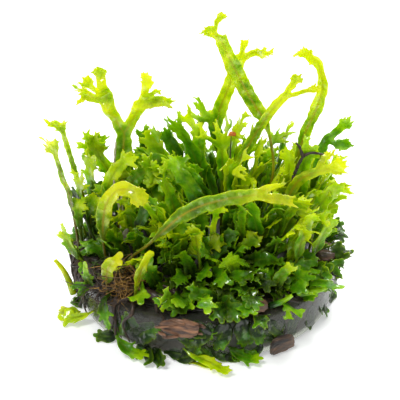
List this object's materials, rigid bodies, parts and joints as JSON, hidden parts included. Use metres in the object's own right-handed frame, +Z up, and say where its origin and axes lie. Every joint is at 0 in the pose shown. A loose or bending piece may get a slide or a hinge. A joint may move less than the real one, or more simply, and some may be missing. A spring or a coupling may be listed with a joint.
{
  "type": "java fern tuft on a gel puck",
  "caption": "Tuft of lace java fern with forked, crested fronds, rooted among driftwood and bark in a low round puck of cloudy clear gel that stands flat.",
  "frame": {"origin": "centre of the gel puck's flat underside", "axes": "+Z up out of the puck through the tuft; -Y towards the side where the rim is open and the bark shows; +X to the right seen from that side"},
  "size_m": [0.0958, 0.0868, 0.0938],
  "materials": {
    "gel": "satin",
    "leaf_light": "gloss",
    "leaf_green": "gloss",
    "leaf_dark": "gloss",
    "wood": "matte",
    "root": "matte",
    "dead_frond": "satin"
  },
  "bodies": {
    "root": {"gel_puck": "gel", "undergrowth": "leaf_dark", "frond_forked_left": "leaf_light", "frond_far_left": "leaf_light", "frond_far_left_thin": "leaf_light", "frond_left_fan": "leaf_light", "frond_left_lobed": "leaf_light", "frond_arched_left": "leaf_light", "frond_long_front": "leaf_light", "frond_tall_centre": "leaf_light", "frond_crossing": "leaf_light", "frond_tall_back": "leaf_light", "frond_tall_right": "leaf_light", "frond_right_edge": "leaf_green", "frond_right_yellow": "leaf_light", "frond_right_low": "leaf_green", "frond_mid_crest": "leaf_light", "frond_right_inner": "leaf_green", "frond_right_broad": "leaf_green", "frond_forked_back": "leaf_green", "frond_dark_crest": "leaf_green", "frond_narrow_crest": "leaf_light", "frond_broad_centre": "leaf_green", "frond_broad_right": "leaf_green", "frond_front_right": "leaf_green", "frond_right_front": "leaf_green", "frond_right_side": "leaf_green", "frond_right_short": "leaf_light", "frond_left_middle": "leaf_green", "frond_left_inner": "leaf_green", "frond_behind_left": "leaf_green", "frond_behind_centre": "leaf_green", "frond_middle_left": "leaf_green", "frond_middle_front": "leaf_green", "leaf_spoon": "leaf_light", "leaf_front_light": "leaf_light", "leaf_front_lobed": "leaf_light", "leaf_front_flat": "leaf_green", "leaf_streaked": "leaf_light", "leaf_left_crest": "leaf_light", "leaf_front_dark": "leaf_dark", "frond_back_left": "leaf_green", "frond_back": "leaf_green", "frond_back_middle": "leaf_green", "frond_back_right": "leaf_green", "frond_right_back": "leaf_green", "floor_leaf_left": "leaf_light", "floor_leaf_front": "leaf_light", "rolled_leaf_left": "leaf_light", "rolled_leaf_right": "leaf_green", "rolled_leaf_front": "leaf_green", "dead_stalk": "dead_frond", "rhizome_left": "root", "rhizome_front": "root", "bark_flake": "wood", "rotten_wood": "wood", "wood_knob": "wood", "red_wood_chip": "wood", "root_ball": "root"}
  },
  "joints": []
}
